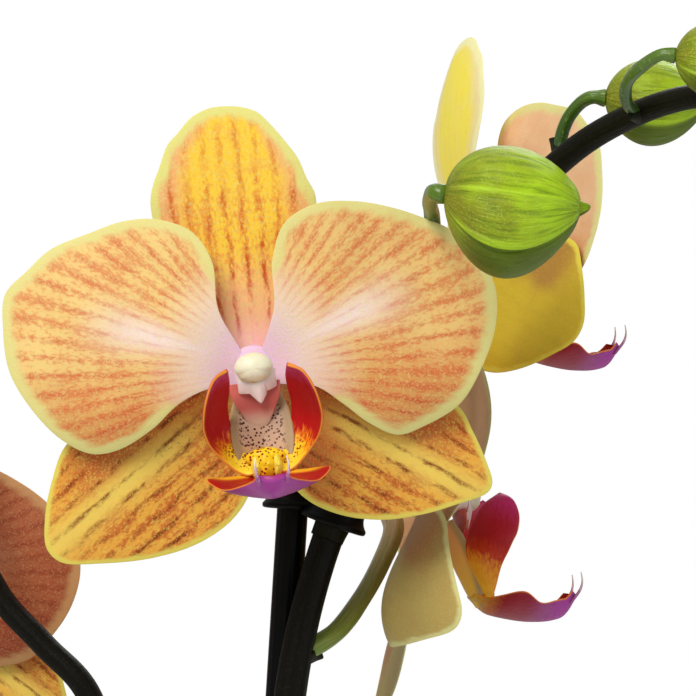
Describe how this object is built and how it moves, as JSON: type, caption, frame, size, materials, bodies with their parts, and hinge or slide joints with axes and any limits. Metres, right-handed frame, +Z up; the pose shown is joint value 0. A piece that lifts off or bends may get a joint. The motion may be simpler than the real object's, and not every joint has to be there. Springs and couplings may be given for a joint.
{
  "type": "potted moth orchid",
  "caption": "Moth orchid in a round ceramic pot: arching staked stems carry broad flat flowers and closed buds above strap leaves.",
  "frame": {"origin": "centre of the pot's flat bottom, where it rests", "axes": "+Z up along the plant; the main flower faces -Y; +X to the right of someone who looks at that flower"},
  "size_m": [0.3772, 0.2295, 0.4952],
  "materials": {
    "glazed_ceramic": "glossy white glaze",
    "bark": "rough conifer bark chips",
    "crown": "pale green stem with dry leaf bases",
    "root": "silver-green root skin, matt",
    "leaf": "leathery dark green, satin",
    "spike": "near-black green stem, satin",
    "support": "black plastic",
    "sepal": "golden yellow with orange stripes, soft",
    "petal": "peach with red-orange veins and a pale rim, soft",
    "lip": "crimson, yellow and magenta, waxy",
    "column": "cream white, waxy",
    "bud": "lime green, satin"
  },
  "bodies": {
    "root": {"pot": "glazed_ceramic", "bark": "bark", "crown": "crown", "root_1": "root", "root_2": "root", "root_3": "root", "root_4": "root", "leaf_1": "leaf", "leaf_2": "leaf", "leaf_3": "leaf", "leaf_4": "leaf", "leaf_5": "leaf", "leaf_6": "leaf", "stake_1": "support", "stake_2": "support", "clip_1": "support", "clip_2": "support", "clip_3": "support", "spike_1": "spike", "spike_2": "spike", "bloom_1_sepals": "sepal", "bloom_1_petals": "petal", "bloom_1_lip": "lip", "bloom_1_column": "column", "bloom_2_sepals": "sepal", "bloom_2_petals": "petal", "bloom_2_lip": "lip", "bloom_2_column": "column", "bloom_3_sepals": "sepal", "bloom_3_petals": "petal", "bloom_3_lip": "lip", "bloom_3_column": "column", "bloom_4_sepals": "sepal", "bloom_4_petals": "petal", "bloom_4_lip": "lip", "bloom_4_column": "column", "bloom_5_sepals": "sepal", "bloom_5_petals": "petal", "bloom_5_lip": "lip", "bloom_5_column": "column", "bud_1": "bud", "bud_2": "bud", "bud_3": "bud", "bud_4": "bud", "bud_5": "bud", "bud_6": "bud", "bud_7": "bud", "bud_8": "bud", "bud_9": "bud"}
  },
  "joints": []
}
